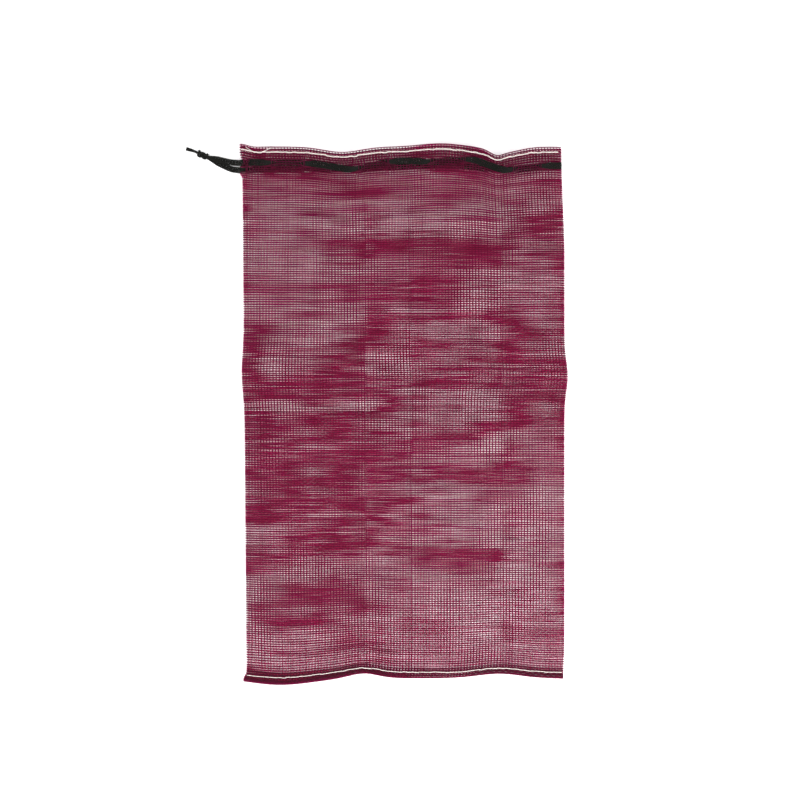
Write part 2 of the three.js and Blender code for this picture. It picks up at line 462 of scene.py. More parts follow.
def out_of_step(x, v):
    """How far the rows of one net lie between those of the other: 1 is midway."""
    spots = (far * np.exp(-(((x - at_x) / wide) ** 2) - ((v - at_v) / long) ** 2)
             for at_x, at_v, wide, long, far in IN_STEP)
    sewn = 1.0 - ease(v + HALF_LENGTH, *SEAM_SWAP)
    return (1.0 - sum(spots)) * (1.0 - 2.0 * sewn)


def widen(distance, half):
    """How far a tape is pushed off the middle of a slot, by its distance from there."""
    return np.cbrt(np.abs(distance) ** 3 + half**3) - np.abs(distance)


def open_slots(slots, x, y):
    """Push the tapes of a net aside where the drawstring passes through it."""
    for slot_x, slot_y in slots:
        off_x, off_y = x - slot_x, y - slot_y
        near_x = np.exp(-((off_x / SLOT_REACH[0]) ** 4))
        near_y = np.exp(-((off_y / SLOT_REACH[1]) ** 4))
        fade_x = np.exp(-((off_x / SLOT_FADE) ** 2))
        fade_y = np.exp(-((off_y / SLOT_FADE) ** 2))
        x = x + np.sign(off_x) * widen(off_x, SLOT_HALF[0]) * near_y * fade_x
        y = y + np.sign(off_y) * widen(off_y, SLOT_HALF[1]) * near_x * fade_y
    return x, y


def wall_points(wall, u, v, inside=0.0, slide=0.0):
    """Places of a wall's net: u across it, v along it, and how far inside its outer layer."""
    side = off_fold(u, v)
    end = ease(HALF_LENGTH - np.abs(v), 0.0, END_EASE)
    straight = across(u, v)
    x = straight + side * (rippled(PULL_ACROSS[wall], straight, v) + slide)
    if wall == "front":
        x = x + side * spread_out(GATHERS, x) * np.exp((v - HALF_LENGTH) / GATHER_FADE)
        x = x - side * end * spread_out(CREASE_PULLS, x)
    pull = rippled(PULL_ALONG["fold"], 0.0, v)
    y = along(x, v) + end * (pull + side * rippled(PULL_ALONG[wall], straight, v))
    calm = side * end * (1.0 - mouth_share(v)) * ease(v + HALF_LENGTH, SEAM_DEPTH, SEAM_ROUND)
    crease = np.exp(-np.abs(y - CROSS_CREASE[0]) / CROSS_CREASE[2]) * CROSS_CREASE[1]
    folds = crease + bells(LONG_CREASES, x)
    relief = calm * (rippled(WRINKLES[wall], x, v) + (folds if wall == "front" else 0.0))
    if wall == "front":
        y = y + bells(PEEK, x) * np.exp((v - HALF_LENGTH) / PEEK_FADE)
        x, y = open_slots((*FRONT_SLOTS, EXIT_SLOT), x, y)
        z = front_top(u, v) - FRONT_SET - inside + relief
    else:
        x, y = open_slots((*BACK_SLOTS, EXIT_SLOT), x, y)
        z = back_under(v) + BACK_SET + inside + np.maximum(relief, 0.0)
    return np.stack(np.broadcast_arrays(x, y, z), axis=-1)


# Strips: runs of cross-sections, joined into one mesh

# Empty share of the map above and below a strip, and points that a smooth line has to a span
MAP_MARGIN = 0.1
SPAN_POINTS = 60


def unit(vectors):
    return vectors / np.maximum(np.linalg.norm(vectors, axis=-1, keepdims=True), 1e-12)


def frames(lines, side):
    """Side directions near the given one, and the outward directions of lines of points."""
    tangents = unit(np.gradient(lines, axis=-2))
    side = np.broadcast_to(side, lines.shape)
    sides = unit(side - np.sum(side * tangents, axis=-1, keepdims=True) * tangents)
    return sides, np.cross(sides, tangents)


def ribbon_sections(lines, side, half_width, thickness):
    """Three-cornered flat sections with a low ridge outside."""
    sides, outs = frames(lines, side)
    half = np.asarray(half_width)[..., None] * sides
    flat = lines - outs * thickness / 2.0
    return np.stack((flat - half, lines + outs * thickness / 2.0, flat + half), axis=-2)


def cord_sections(lines, side, half_width, half_height, corners):
    """Rounded sections with a given number of corners."""
    sides, outs = frames(lines, side)
    wide = np.asarray(half_width)[..., None] * sides
    high = np.asarray(half_height)[..., None] * outs
    turns = np.arange(corners) * 2.0 * math.pi / corners
    return np.stack([lines - wide * math.cos(a) + high * math.sin(a) for a in turns], axis=-2)


def strip_faces(sections, base, closed):
    """Faces of a set of strips, and the places of their corners on the strips' own map."""
    count, steps, corners, _ = sections.shape
    number = base + np.arange(count * steps * corners).reshape(count, steps, corners)
    after = np.roll(number, -1, axis=1) if closed else number[:, 1:]
    before = number if closed else number[:, :-1]
    turned = np.roll(before, -1, axis=2), np.roll(after, -1, axis=2)
    quads = np.stack((before, turned[0], turned[1], after), axis=-1)
    runs = quads.shape[1]
    start = np.broadcast_to(np.arange(runs)[None, :, None] / runs, quads.shape[:3])
    low = np.broadcast_to(np.arange(corners)[None, None, :] / corners, quads.shape[:3])
    far, high = start + 1.0 / runs, low + 1.0 / corners
    strip = np.broadcast_to(np.arange(count)[:, None, None], quads.shape[:3])
    spots = np.stack((start, low, start, high, far, high, far, low), axis=-1)
    faces = quads.reshape(-1, 4).tolist()
    heights = strip[..., None] + MAP_MARGIN + (1.0 - 2.0 * MAP_MARGIN) * spots[..., 1::2]
    maps = np.stack((spots[..., 0::2], heights), axis=-1)
    maps = [maps.reshape(-1, 2)]
    if not closed:
        faces += number[:, 0, ::-1].tolist() + number[:, -1].tolist()
        ends = np.zeros((2, count, corners, 2))
        ends[1, :, :, 0] = 1.0
        ends[..., 1] = np.arange(count)[None, :, None] + 0.5
        maps.append(ends.reshape(-1, 2))
    return faces, np.concatenate(maps)


def strip_piece(name, bundles, material, seed, smooth):
    """One joined mesh of strips. A bundle is its sections and whether its strips are closed."""
    rng = np.random.default_rng(seed)
    points, faces, maps, tints = [], [], [], []
    base = strips = 0
    for sections, closed in bundles:
        made, spots = strip_faces(sections, base, closed)
        spots[:, 1] += strips
        points.append(sections.reshape(-1, 3))
        tint = rng.uniform(0.0, 1.0, sections.shape[0])
        tints.append(np.repeat(tint, sections.shape[1] * sections.shape[2]))
        faces += made
        maps.append(spots)
        base += points[-1].shape[0]
        strips += sections.shape[0]
    mesh = bpy.data.meshes.new(name)
    mesh.from_pydata(np.concatenate(points).tolist(), [], faces)
    spots = np.concatenate(maps)
    spots[:, 1] /= strips
    mesh.uv_layers.new(name="OFBake").data.foreach_set("uv", spots.ravel())
    mesh.attributes.new("tape", "FLOAT", "POINT").data.foreach_set("value", np.concatenate(tints))
    mesh.polygons.foreach_set("use_smooth", np.full(len(faces), smooth))
    mesh.materials.append(material)
    mesh.update()
    piece = bpy.data.objects.new(name, mesh)
    bpy.context.collection.objects.link(piece)
    return piece


def settle(piece, slot, *nodes):
    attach(piece, "root")
    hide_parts(*nodes)
    return piece


def smooth_line(points, step):
    """A smooth line through the points, in nearly even steps."""
    points = np.asarray(points, float)
    gaps = np.sqrt(np.linalg.norm(np.diff(points, axis=0), axis=1))
    knots = np.concatenate(([0.0], np.cumsum(gaps)))
    slopes = np.gradient(points, knots, axis=0)
    fine = np.linspace(0.0, knots[-1], SPAN_POINTS * len(points))
    i = np.clip(np.searchsorted(knots, fine, side="right") - 1, 0, len(points) - 2)
    width = (knots[i + 1] - knots[i])[:, None]
    t = (fine - knots[i])[:, None] / width
    line = (
        (2 * t**3 - 3 * t**2 + 1) * points[i]
        + (t**3 - 2 * t**2 + t) * width * slopes[i]
        + (3 * t**2 - 2 * t**3) * points[i + 1]
        + (t**3 - t**2) * width * slopes[i + 1]
    )
    return even_steps(line, step)


def run_lengths(line):
    return np.concatenate(([0.0], np.cumsum(np.linalg.norm(np.diff(line, axis=0), axis=1))))


def even_steps(line, step):
    run = run_lengths(line)
    places = np.linspace(0.0, run[-1], max(2, round(run[-1] / step) + 1))
    return np.stack([np.interp(places, run, line[:, k]) for k in range(3)], axis=-1)


# Materials

PLASTIC_IOR = 1.48
# Shares of the tapes' own tint and of the blotches in the colour, and streaks to a blotch
TINT_SHARE = 0.45
BLOTCH_SHARE = 0.55
STREAKS = 14.0
# Looks: blotches to the metre, strength of the shine, roughness from and to, depth of the grain
NET_LOOK = {"grain": 28.0, "shine": 0.15, "gloss": (0.18, 0.32), "bump": 0.00006}
THREAD_LOOK = {"grain": 160.0, "shine": 0.20, "gloss": (0.70, 0.90), "bump": 0.0001}
KNIT_LOOK = {"grain": 90.0, "shine": 0.15, "gloss": (0.35, 0.60), "bump": 0.0001}
# Share of the light that a tape of the net lets through
LIGHT_SHARE = {"back": 0.66, "front": 0.45}


def add_node(tree, kind, **values):
    node = tree.nodes.new(kind)
    for key, value in values.items():
        node.inputs[key].default_value = value
    return node


def let_light_through(material, share, colour):
    """Thin tape that passes a share of the light that falls on it."""
    tree = material.node_tree
    glow = tree.nodes.new("ShaderNodeBsdfTranslucent")
    glow.inputs["Color"].default_value = (*colour, 1.0)
    mix = tree.nodes.new("ShaderNodeMixShader")
    mix.inputs["Fac"].default_value = share
    tree.links.new(tree.nodes["Principled BSDF"].outputs["BSDF"], mix.inputs[1])
    tree.links.new(glow.outputs["BSDF"], mix.inputs[2])
    tree.links.new(mix.outputs["Shader"], tree.nodes["Material Output"].inputs["Surface"])


def tape_material(name, light, dark, grain, shine, gloss, bump):
    """Colour that differs from tape to tape and along each, with uneven gloss and a fine grain."""
    material = bpy.data.materials.new(name)
    material.use_nodes = True
    tree = material.node_tree
    shader = tree.nodes["Principled BSDF"]
    shader.inputs["IOR"].default_value = PLASTIC_IOR
    shader.inputs["Specular IOR Level"].default_value = shine
    place = tree.nodes.new("ShaderNodeTexCoord")
    blotch = add_node(tree, "ShaderNodeTexNoise", Scale=grain, Detail=3.0, Roughness=0.6)
    streak = add_node(tree, "ShaderNodeTexNoise", Scale=grain * STREAKS, Detail=2.0, Roughness=0.5)
    tape = tree.nodes.new("ShaderNodeAttribute")
    tape.attribute_name = "tape"
    share = tree.nodes.new("ShaderNodeMath")
    share.operation = "MULTIPLY_ADD"
    share.inputs[1].default_value = TINT_SHARE
    mix = tree.nodes.new("ShaderNodeMix")
    mix.data_type = "RGBA"
    mix.inputs["A"].default_value = (*dark, 1.0)
    mix.inputs["B"].default_value = (*light, 1.0)
    rough = tree.nodes.new("ShaderNodeMapRange")
    rough.inputs["From Min"].default_value = 0.3
    rough.inputs["From Max"].default_value = 0.7
    rough.inputs["To Min"].default_value = gloss[0]
    rough.inputs["To Max"].default_value = gloss[1]
    relief = add_node(tree, "ShaderNodeBump", Strength=0.4, Distance=bump)
    half = tree.nodes.new("ShaderNodeMath")
    half.operation = "MULTIPLY"
    half.inputs[1].default_value = BLOTCH_SHARE
    link = tree.links.new
    link(place.outputs["Object"], blotch.inputs["Vector"])
    link(place.outputs["Object"], streak.inputs["Vector"])
    link(blotch.outputs["Fac"], half.inputs[0])
    link(tape.outputs["Fac"], share.inputs[0])
    link(half.outputs["Value"], share.inputs[2])
    link(share.outputs["Value"], mix.inputs["Factor"])
    link(mix.outputs["Result"], shader.inputs["Base Color"])
    link(streak.outputs["Fac"], rough.inputs["Value"])
    link(rough.outputs["Result"], shader.inputs["Roughness"])
    link(streak.outputs["Fac"], relief.inputs["Height"])
    link(relief.outputs["Normal"], shader.inputs["Normal"])
    return material


# Net

# Distance of the first row from a turned edge, by the distance from row to row
FIRST_ROW = 0.05
WEAVE_SEEDS = {"back": 136, "front": 50}
NET_TINT_SEED = 50
# Shifts of the rows, of the cloth between two creases, and of the lengthwise tapes: over how many
# stations and tapes they change, and how far they go
ROW_NOISE = (((6, 20), 0.00061), ((2, 11), 0.00028), ((1, 9), 0.00012))
PANEL_NOISE = ((12, 1), 0.00020)
COLUMN_NOISE = ((16, 1), 0.00010)
# Share of the shifts that is lost in the hem and where the nets are pulled along each other
HEM_CALM = 0.65
# Widths of the tapes by their mean: spread from tape to tape and along a tape, and the limits
WARP_SPREAD = (0.10, 0.07)
WARP_LIMITS = (0.60, 1.35)
WEFT_SPREAD = (0.08, 0.14)
WEFT_LIMITS = (0.55, 1.45)
WEFT_SWELL = (1, 6)


def weave_lines(cell_height):
    """Stations of the lengthwise tapes: place along the flat strip and whether a row crosses there."""
    rows = round(2.0 * HALF_LENGTH / cell_height - 2.0 * FIRST_ROW)
    pitch = 2.0 * HALF_LENGTH / (rows + 2.0 * FIRST_ROW)
    first = -HALF_LENGTH + FIRST_ROW * pitch
    turned_in = math.floor(SEAM_TURN / pitch + FIRST_ROW)
    turned_out = math.floor(HEM_TURN / pitch + FIRST_ROW)
    places = first + pitch * np.arange(-turned_in, rows + 1 + turned_out)
    stations = [(place, True) for place in places]
    stations += [(-HALF_LENGTH, False), (HALF_LENGTH, False)]
    stations.sort()
    return np.array([s for s, _ in stations]), np.array([row for _, row in stations])


def uneven(rng, shape, every, far):
    """Random shifts of a grid of points, which change smoothly over some of its lines and stations."""
    marks = [np.arange(0.0, count + step, step) for count, step in zip(shape, every)]
    rough = far * rng.standard_normal((len(marks[0]), len(marks[1])))
    wide = np.stack([np.interp(np.arange(shape[1]), marks[1], line) for line in rough])
    return np.stack([np.interp(np.arange(shape[0]), marks[0], line) for line in wide.T], axis=1)


def woven_wall(wall, seed):
    """Sections of all lengthwise and crosswise tapes of one wall."""
    size = sizes()
    rng = np.random.default_rng(seed)
    columns = 2 * round(HALF_WIDTH / size.cell_width)
    facing = 1.0 if wall == "front" else -1.0
    u = -1.0 + (2.0 * np.arange(columns) + 1.0) / columns
    if wall == "back":
        u = (u[:-1] + u[1:]) / 2.0
        columns -= 1
    place, is_row = weave_lines(size.cell_height)
    beyond = np.maximum(np.abs(place) - HALF_LENGTH, 0.0)
    v = np.sign(place) * (HALF_LENGTH - np.abs(np.abs(place) - HALF_LENGTH))
    v = np.where(beyond > 0.0, v, place)
    inside = HEM_LAYER * ease(beyond, 0.0, LAYER_EASE)
    turn = np.where(is_row, 0.0, HEM_LAYER / 2.0)
    slide = HEM_SLIDE * ease(beyond, 0.0, SLIDE_EASE)
    knots = wall_points(wall, u[None, :], v[:, None], (inside + turn)[:, None], slide[:, None])
    knots[..., 1] += (turn * np.sign(place))[:, None]
    free = off_fold(u[None, :], v[:, None])
    grid = (len(place), columns)
    loose = sum(uneven(rng, grid, every, far) for every, far in ROW_NOISE)
    panel = np.searchsorted([at for at, _, _ in LONG_CREASES], u * HALF_WIDTH)
    loose += uneven(rng, (len(place), len(LONG_CREASES) + 1), *PANEL_NOISE)[:, panel]
    if wall == "front":
        loose += parted(v[:, None], u[None, :] * HALF_WIDTH)
    turned = place > HALF_LENGTH
    loose[turned] = loose[~turned][-2 : -2 - turned.sum() : -1]
    hemmed = ease(v, HALF_LENGTH - HEM_BLEND - HEM_DEPTH, HALF_LENGTH - HEM_DEPTH)[:, None]
    apart = out_of_step(u[None, :] * HALF_WIDTH, v[:, None])
    calm = np.maximum(hemmed, np.minimum(np.abs(1.0 - apart), 1.0))
    shift = facing * size.cell_height / 4.0 * apart + loose * (1.0 - HEM_CALM * calm)
    knots[..., 1] += shift
    knots[..., 0] += free * uneven(rng, grid, *COLUMN_NOISE)

    # Lengthwise tapes, which pass over and under the rows in turn
    row = np.cumsum(is_row) - 1
    lap = np.where((row[:, None] + np.arange(columns)[None, :]) % 2 == 0, 1.0, -1.0)
    lap = np.where(is_row[:, None], lap, 0.0) * size.net_thickness / 2.0
    lines = np.swapaxes(knots, 0, 1)
    _, outs = frames(lines, (facing, 0.0, 0.0))
    lines = lines + outs * lap.T[..., None]
    wide = 1.0 + WARP_SPREAD[0] * rng.standard_normal((columns, 1))
    wide = wide + WARP_SPREAD[1] * rng.standard_normal(lines.shape[:2])
    half = size.warp_width / 2.0 * np.clip(wide, *WARP_LIMITS)
    warps = ribbon_sections(lines, (facing, 0.0, 0.0), half, size.net_thickness)

    # Crosswise tapes, from fold to fold
    held = knots[is_row]
    ends = fold_ends(wall, v[is_row], inside[is_row])
    for end, column in zip(ends, (0, -1)):
        end[..., 1] += shift[is_row, column][:, None]
    held = np.concatenate((ends[0], held, ends[1]), axis=1)
    if wall == "back":
        held = held[:, ::-1]
    lap = np.pad(-lap[is_row], ((0, 0), (2, 2)))
    lap = lap if wall == "front" else lap[:, ::-1]
    _, outs = frames(held, (0.0, -1.0, 0.0))
    held = held + outs * lap[..., None]
    wide = 1.0 + WEFT_SPREAD[0] * rng.standard_normal((held.shape[0], 1))
    wide = wide + uneven(rng, held.shape[:2], WEFT_SWELL, WEFT_SPREAD[1])
    sewn = (1.0 - ease(v[is_row] + HALF_LENGTH, *SEAM_SWAP))[:, None]
    closed = 1.0 - np.exp(-(((held[..., 0] - SEAM_OPEN[0]) / SEAM_OPEN[1]) ** 2))
    fit = 1.0 + SEAM_WIDEN * sewn * closed - HEM_NARROW * hemmed[is_row]
    half = size.weft_width / 2.0 * np.clip(wide, *WEFT_LIMITS) * fit
    wefts = ribbon_sections(held, (0.0, -1.0, 0.0), half, size.net_thickness)
    middle = int(np.searchsorted(place, MIDDLE))
    middle_row = int(row[middle])
    return {
        "lower": [(warps[:, : middle + 1], False), (wefts[: middle_row + 1], False)],
        "upper": [(warps[:, middle:], False), (wefts[middle_row + 1 :], False)],
    }


def fold_ends(wall, v, inside):
    """Last two points of each crosswise tape at the left and at the right fold."""
    made = []
    for u in (-1.0, 1.0):
        edge = wall_points(wall, np.full_like(v, u), v, inside)
        other = wall_points("back" if wall == "front" else "front", np.full_like(v, u), v, inside)
        outer = edge.copy()
        outer[:, 2] = (edge[:, 2] + other[:, 2]) / 2.0
        outer[:, 0] += u * (FOLD_BULGE - inside)
        made.append(np.stack((outer, edge) if u < 0.0 else (edge, outer), axis=1))
    return made


class ONIONBAG_OT_net(Operator):
    """Weave the front and the back wall of the bag, with their hems turned in"""

    bl_idname = "onion_bag.net"
    bl_label = "Net"

    def execute(self, context):
        colour = colours()
        # The back wall takes the lighter copy of the net's colours, which is painted light from the pale
        # floor under it. The front wall takes the net's own colours.
        tints = {"back": (colour.back, colour.floor_lit_back_dark), "front": (colour.net, colour.net_shade)}
        for number, (wall, (light, shade)) in enumerate(tints.items()):
            material = tape_material(f"net_tape_{wall}", light, shade, **NET_LOOK)
            let_light_through(material, LIGHT_SHARE[wall], colour.net_glow)
            for part, bundles in woven_wall(wall, WEAVE_SEEDS[wall]).items():
                name = f"net_{wall}_{part}"
                piece = strip_piece(name, bundles, material, NET_TINT_SEED + number, False)
                settle(piece, "net", "net_bag")
        return {"FINISHED"}


# Stitching

# One loop of a chain stitch: along it by its length, aside by its spread, up by its lift
LINK = (
    (0.0, 0.0, -0.25),
    (0.08, -0.34, 0.10),
    (0.28, -0.62, 0.42),
    (0.55, -0.70, 0.50),
    (0.84, -0.58, 0.46),
    (1.06, -0.28, 0.36),
    (1.13, 0.0, 0.30),
    (1.06, 0.28, 0.36),
    (0.84, 0.58, 0.46),
    (0.55, 0.70, 0.50),
    (0.28, 0.62, 0.42),
    (0.08, 0.34, 0.10),
)
LINK_LIFT = 0.001
# A row of stitches: points of its line, steps to a stitch, lift by the net's thickness, place of
# the first stitch, and how uneven the stitches are in place, spread and sway
STITCH_SPOTS = 400
STITCH_STEPS = 8.0
STITCH_LIFT = 1.5
STITCH_START = 0.1
STITCH_JITTER = 0.06
STITCH_SPREAD = (0.80, 1.15)
STITCH_SWAY = 0.0003
STITCH_SEED = 60
THREAD_TINT_SEED = 70
THREAD_CORNERS = 6
# Loose ends of the thread at the left of the mouth
LOOSE_THREADS = (
    (
        (-0.2362, 0.3990, 0.0105),
        (-0.2325, 0.3965, 0.0112),
        (-0.2280, 0.3935, 0.0125),
        (-0.2225, 0.3915, 0.0132),
    ),
    (
        (-0.2120, 0.3912, 0.0138),
        (-0.2065, 0.3935, 0.0143),
        (-0.2010, 0.3962, 0.0144),
        (-0.1960, 0.3975, 0.0140),
    ),
)
LOOSE_STEP = 0.0012
LOOSE_SHARE = 2.2


def stitch_row(wall, v, spread_to, thread, seed):
    """Chain stitches along a hem: closed loops of thread, each caught in the one before."""
    size = sizes()
    rng = np.random.default_rng(seed)
    u = np.linspace(-STITCH_REACH, STITCH_REACH, STITCH_SPOTS)
    facing = 1.0 if wall == "front" else -1.0
    line = wall_points(wall, u, np.full_like(u, v))
    line[:, 2] += facing * size.net_thickness * STITCH_LIFT
    line = even_steps(line, size.stitch / STITCH_STEPS)
    run = run_lengths(line)
    sides, outs = frames(line, (0.0, -facing, 0.0))
    count = int(run[-1] / size.stitch - 2.0 * STITCH_START)
    jitter = rng.uniform(-STITCH_JITTER, STITCH_JITTER, (count, 1))
    start = size.stitch * (np.arange(count)[:, None] + STITCH_START + jitter)
    link = np.array(LINK)
    spots = start + link[None, :, 0] * size.stitch
    middle = np.stack([np.interp(spots, run, line[:, k]) for k in range(3)], axis=-1)
    side = np.stack([np.interp(spots, run, sides[:, k]) for k in range(3)], axis=-1)
    out = np.stack([np.interp(spots, run, outs[:, k]) for k in range(3)], axis=-1)
    spread = spread_to * rng.uniform(*STITCH_SPREAD, (count, 1)) * link[None, :, 1]
    sway = STITCH_SWAY * rng.standard_normal((count, 1))
    loops = middle + (spread + sway)[..., None] * side + LINK_LIFT * link[None, :, 2, None] * out
    lines = np.concatenate((loops[:, -1:], loops, loops[:, :1]), axis=1)
    return thread_sections(lines, thread / 2.0)[:, 1:-1]


def thread_sections(lines, thick):
    return cord_sections(lines, (0.0, 0.0, 1.0), thick, thick, THREAD_CORNERS)


def loose_thread(points):
    return thread_sections(smooth_line(points, LOOSE_STEP)[None], sizes().thread / LOOSE_SHARE)


class ONIONBAG_OT_stitching(Operator):
    """Sew the hems of the mouth and the closed end with chain stitches"""

    bl_idname = "onion_bag.stitching"
    bl_label = "Stitching"

    def execute(self, context):
        colour = colours()
        material = tape_material("sewing_thread", colour.thread, colour.thread_shade, **THREAD_LOOK)
        mouth = HALF_LENGTH - MOUTH_STITCH_INSET
        seam = SEAM_STITCH_INSET - HALF_LENGTH
        # Node, wall, place along the bag, spread of the loops, thickness by that of the thread
        rows = (
            ("mouth_stitch_front", "front", mouth, 0.00082, 1.0),
            ("mouth_stitch_back", "back", mouth, 0.00082, 1.0),
            ("seam_stitch", "front", seam, 0.00025, 0.8),
        )
        for number, (node, wall, v, spread, share) in enumerate(rows):
            bundles = [(stitch_row(wall, v, spread, share * sizes().thread, STITCH_SEED + number), True)]
            if node == "mouth_stitch_front":
                bundles += [(loose_thread(points), False) for points in LOOSE_THREADS]
            piece = strip_piece(f"{node}_thread", bundles, material, THREAD_TINT_SEED + number, True)
            settle(piece, "thread", node)
        return {"FINISHED"}


# Drawstring

def over_front(x, y):
    return x, y, float(front_top(*flat_point(x, y))) + TAPE_CLEAR


def under_front(x, y):
    return x, y, float(front_top(*flat_point(x, y))) - HEM_WALL


def inside_back(x, y):
    return x, y, float(back_under(flat_point(x, y)[1])) + HEM_WALL + TAPE_CLEAR


def below_back(x, y):
    return x, y, float(back_under(flat_point(x, y)[1])) - UNDER_CLEAR


def loop_points():
    """The drawstring from its upper exit along the front, round the right fold and back."""
    runs = (
        (over_front, ((-0.227, 0.376), (-0.213, 0.3755))),
        (under_front, ((-0.193, 0.375), (-0.172, 0.375), (-0.153, 0.3745))),
        (over_front, ((-0.134, 0.3735), (-0.106, 0.3695), (-0.083, 0.3655))),
        (under_front, ((-0.062, 0.3675), (-0.044, 0.372), (-0.027, 0.376))),
        (over_front, ((-0.009, 0.3775), (0.008, 0.378), (0.025, 0.377))),
        (under_front, ((0.045, 0.377), (0.066, 0.3785), (0.087, 0.380))),
        (over_front, ((0.106, 0.379), (0.128, 0.3715), (0.150, 0.3645))),
        (under_front, ((0.170, 0.366), (0.187, 0.3685), (0.202, 0.370))),
        (over_front, ((0.219, 0.371), (0.229, 0.3712))),
        (None, ((0.2362, 0.3712, 0.0070), (0.2364, 0.371, 0.0032))),
        (below_back, ((0.229, 0.371), (0.210, 0.370), (0.178, 0.3685))),
        (inside_back, ((0.156, 0.3665), (0.128, 0.368), (0.104, 0.370))),
        (below_back, ((0.084, 0.372), (0.066, 0.372), (0.048, 0.372))),
        (inside_back, ((0.028, 0.371), (0.009, 0.371), (-0.010, 0.371))),
        (below_back, ((-0.030, 0.369), (-0.045, 0.369), (-0.060, 0.368))),
        (inside_back, ((-0.080, 0.367), (-0.108, 0.367), (-0.136, 0.3675))),
        (below_back, ((-0.156, 0.3675), (-0.174, 0.367), (-0.192, 0.3665))),
        (inside_back, ((-0.212, 0.366), (-0.230, 0.3655))),
    )
    points = [UPPER_EXIT, (-0.238, 0.376, 0.0052)]
    for level, spots in runs:
        points += [level(*spot) if level else spot for spot in spots]
    return [*points, LOWER_EXIT]


UPPER_TAIL = (
    UPPER_EXIT,
    (-0.258, 0.377, 0.0026),
    (-0.272, 0.380, 0.0021),
    (-0.286, 0.3835, 0.0022),
    (-0.299, 0.3875, 0.0024),
    (-0.310, 0.3922, 0.0020),
    (-0.319, 0.3955, 0.0014),
    (-0.3265, 0.3976, 0.0010),
)
LOWER_TAIL = (
    LOWER_EXIT,
    (-0.258, 0.367, 0.0014),
    (-0.272, 0.373, 0.0008),
    (-0.286, 0.380, 0.0008),
    (-0.299, 0.386, 0.0012),
)
# Widths of the drawstring: share lost in a slot and how far round it, share left of it in the
# tails, shares lost where the tails bunch, and share won back at the bare end
SLOT_SQUEEZE = 0.24
SLOT_EASE = (0.001, 0.010)
TAIL_SHARE = 0.9
UPPER_SQUEEZE = 0.62
UPPER_BUNCH = (0.034, 0.052)
UPPER_FLARE = 0.35
UPPER_END = (0.066, 0.084)
LOWER_SQUEEZE = 0.55
LOWER_BUNCH = (0.034, 0.056)
# Knitted tape: its chains of loops, the yarns that lace them, and half their width and height
WALES = 6
KNIT_STEP = 0.00073
CROWN = 0.00018
LOOP_LENGTH = 0.0022
LOOP_SWAY = 0.00014
LOOP_LIFT = 0.00010
LOOP_SWELL = 0.28
SWELL_PHASE = 1.3
STRAND = (0.00076, 0.00036)
STRAND_CORNERS = 4
LACE = (0.00060, 0.00020)
LACE_LENGTH = 0.0052
LACE_DROP = 0.00012
LACE_CORNERS = 3
# Seeds of the knitting and of the tints
LOOP_SEEDS = (80, 84)
TAIL_SEEDS = (81, 85)
KNOT_TINT_SEED = 83


def knitted_tape(points, width_at, seed):
    """Knitted tape: lengthwise chains of loops, laced together by zigzag yarns."""
    rng = np.random.default_rng(seed)
    side = (0.0, -1.0, 0.0)
    line = smooth_line(points, KNIT_STEP)
    run = run_lengths(line)
    sides, outs = frames(line, side)
    half = width_at(line) / 2.0
    chains, laces = [], []
    for wale in range(WALES):
        lie = 2.0 * wale / (WALES - 1) - 1.0
        phase = rng.uniform(0.0, TURN)
        beat = 2.0 * math.pi * run / LOOP_LENGTH + phase
        aside = lie * (half - STRAND[0]) + LOOP_SWAY * np.sin(beat)
        lift = CROWN * (1.0 - lie**2) + LOOP_LIFT * np.cos(beat)
        chains.append(line + aside[:, None] * sides + lift[:, None] * outs)
    beat = 2.0 * math.pi * run / LOOP_LENGTH + SWELL_PHASE
    swell = np.broadcast_to(1.0 + LOOP_SWELL * np.cos(beat), (WALES, len(run)))
    for gap in range(WALES - 1):
        phase = rng.uniform(0.0, 1.0)
        swing = np.abs(2.0 * ((run / LACE_LENGTH + phase) % 1.0) - 1.0)
        lie = 2.0 * (gap + swing) / (WALES - 1) - 1.0
        aside = lie * (half - STRAND[0])
        laces.append(line + aside[:, None] * sides - LACE_DROP * outs)
    wide, high = STRAND[0] * swell, STRAND[1] * swell
    return line, [
        (cord_sections(np.stack(chains), side, wide, high, STRAND_CORNERS), False),
        (cord_sections(np.stack(laces), side, *LACE, LACE_CORNERS), False),
    ]


# Knot: the ends of its curve and its points, its size along, across and in height, its shift
# across, its steps before and after it is softened, and the yarns along it
KNOT_REACH = 2.06
KNOT_POINTS = 120
KNOT_SIZE = (0.0031, 0.0017, 0.001)
KNOT_SHIFT = 1.9
KNOT_STEPS = (0.0003, 0.0006)
KNOT_SOFT = 13
KNOT_ROPE = {"yarns": 7, "ring": (0.0012, 0.0006), "thick": 0.00060, "turn_length": 0.016}
YARN_CORNERS = 5
# Places along the knot's curve, and how high it passes there
KNOT_HEIGHTS = (
    (-KNOT_REACH, -1.93, -1.73, -0.52, 0.52, 1.73, 1.93, KNOT_REACH),
    (-0.9, -1.1, 1.1, -1.1, 1.1, -1.1, 1.1, 0.9),
)


def knot_line():
    """An overhand knot of the bunched tape, each crossing passed over and under in turn."""
    t = np.linspace(-KNOT_REACH, KNOT_REACH, KNOT_POINTS)
    x = KNOT_SIZE[0] * (t**3 - 3.0 * t)
    y = KNOT_SIZE[1] * (t**4 - 4.0 * t**2 + KNOT_SHIFT)
    z = KNOT_SIZE[2] * np.interp(t, *KNOT_HEIGHTS)
    c, s = math.cos(KNOT_TURN), math.sin(KNOT_TURN)
    line = np.stack((c * x - s * y, s * x + c * y, z), axis=-1) + np.array(KNOT_MIDDLE)
    line = even_steps(line, KNOT_STEPS[0])
    soft = np.hanning(KNOT_SOFT) / np.hanning(KNOT_SOFT).sum()
    ends = np.pad(line, ((KNOT_SOFT // 2, KNOT_SOFT // 2), (0, 0)), mode="edge")
    eased = np.stack([np.convolve(ends[:, k], soft, mode="valid") for k in range(3)], axis=-1)
    return even_steps(eased, KNOT_STEPS[1])


